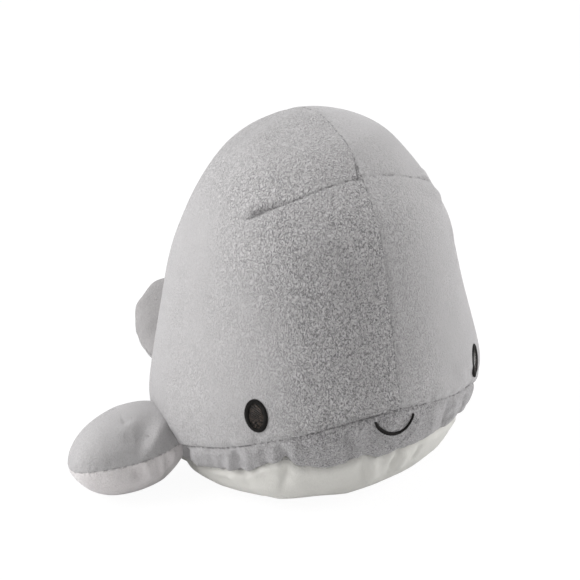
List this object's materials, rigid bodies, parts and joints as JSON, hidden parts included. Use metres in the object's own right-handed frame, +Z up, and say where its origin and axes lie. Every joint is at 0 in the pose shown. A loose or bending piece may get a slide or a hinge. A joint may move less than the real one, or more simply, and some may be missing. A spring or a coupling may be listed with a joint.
{
  "type": "plush whale",
  "caption": "Sitting grey plush whale with an off-white belly, two stuffed flippers, a curled fluke, embroidered oval eyes and a stitched smile.",
  "frame": {"origin": "middle of the flat patch that the whale rests on, below the axis of its body", "axes": "+Z up, -Y the way the whale faces, +X its left"},
  "size_m": [0.3035, 0.2534, 0.2265],
  "materials": {
    "grey_plush": "short matte polyester pile",
    "band_plush": "short matte polyester pile",
    "white_plush": "short matte polyester pile",
    "black_satin": "satin-stitched polyester thread",
    "brown_stitch": "tatami-stitched polyester thread",
    "grey_thread": "matte polyester fibre",
    "fibrefill": "matte polyester fibre"
  },
  "bodies": {
    "body": {"left_side_panel": "grey_plush", "right_side_panel": "grey_plush", "jaw_band": "band_plush", "belly_panel": "white_plush", "body_stuffing": "fibrefill", "centre_seam_thread": "grey_thread", "jaw_seam_thread": "grey_thread", "belly_seam_thread": "grey_thread", "left_dart_thread": "grey_thread", "right_dart_thread": "grey_thread", "left_eye_rim": "black_satin", "right_eye_rim": "black_satin", "left_eye_fill": "brown_stitch", "right_eye_fill": "brown_stitch", "mouth_stitching": "black_satin"},
    "left_flipper": {"left_flipper_top_panel": "grey_plush", "left_flipper_bottom_panel": "grey_plush", "left_flipper_seam_thread": "grey_thread", "left_flipper_stuffing": "fibrefill"},
    "right_flipper": {"right_flipper_top_panel": "grey_plush", "right_flipper_bottom_panel": "grey_plush", "right_flipper_seam_thread": "grey_thread", "right_flipper_stuffing": "fibrefill"},
    "tail": {"tail_top_panel": "grey_plush", "tail_bottom_panel": "grey_plush", "tail_seam_thread": "grey_thread", "tail_stuffing": "fibrefill"}
  },
  "joints": [
    {"name": "right_flipper_bend", "type": "hinge", "parent": "body", "child": "right_flipper", "pos_m": [-0.10045, 0.01227, 0.03208], "axis": [0.0457, 0.9966, -0.0689], "range_deg": [-33, 16], "stiffness_Nm_per_rad": 0.05},
    {"name": "left_flipper_bend", "type": "hinge", "parent": "body", "child": "left_flipper", "pos_m": [0.10363, 0.01267, 0.03208], "axis": [-0.5072, 0.8591, -0.0691], "range_deg": [-12, 30], "stiffness_Nm_per_rad": 0.05},
    {"name": "tail_bend", "type": "hinge", "parent": "body", "child": "tail", "pos_m": [0, 0.10099, 0.03021], "axis": [1, 0, 0], "range_deg": [-25, 22], "stiffness_Nm_per_rad": 0.08}
  ]
}
